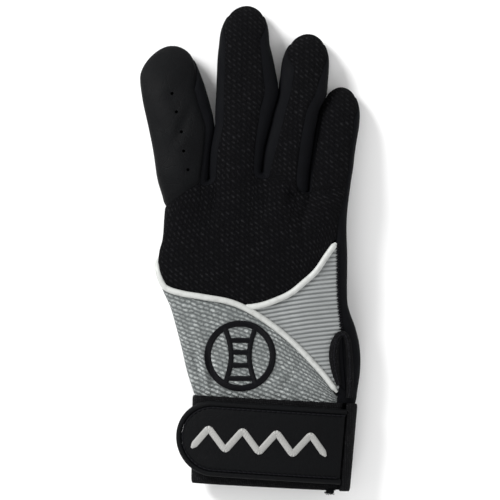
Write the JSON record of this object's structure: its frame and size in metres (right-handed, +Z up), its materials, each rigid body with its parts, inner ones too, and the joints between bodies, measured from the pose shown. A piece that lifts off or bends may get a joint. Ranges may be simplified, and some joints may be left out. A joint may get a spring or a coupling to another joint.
{
  "type": "cricket inner glove",
  "caption": "Right-hand inner glove with a mesh back, padded leather index finger, piped cuff panels and a wrist strap, lying palm down.",
  "frame": {"origin": "middle of the glove's footprint on the floor, at the floor", "axes": "+Y from the wrist to the fingertips, +X from the index finger to the little finger, +Z up out of the back of the hand"},
  "size_m": [0.1052, 0.233, 0.0294],
  "materials": {
    "mesh_black": "black air mesh, matt, with small raised dashes",
    "mesh_grey": "heather grey air mesh, matt",
    "knit_black": "smooth black knit, matt",
    "leather_black": "charcoal synthetic leather, fine grain, soft sheen",
    "elastic_pale": "pale grey ribbed elastic, matt",
    "piping_white": "white covered piping, satin",
    "webbing_black": "black woven elastic and binding, matt",
    "thread_black": "black raised embroidery, satin",
    "thread_silver": "silvery white raised embroidery, satin"
  },
  "bodies": {
    "root": {"back_mesh_panel": "mesh_black", "index_pad": "leather_black", "fourchette_index_middle": "knit_black", "fourchette_middle_ring": "knit_black", "fourchette_ring_little": "knit_black", "side_strip": "knit_black", "palm_panel": "leather_black", "thumb_stall": "leather_black", "cuff_panel": "mesh_grey", "rib_panel": "elastic_pale", "piping_long": "piping_white", "piping_short": "piping_white", "slit_binding": "webbing_black", "wrist_band": "webbing_black", "strap_tab": "leather_black", "strap_rim": "leather_black", "hook_patch": "webbing_black", "cuff_emblem": "thread_black", "strap_motif": "thread_silver"}
  },
  "joints": []
}
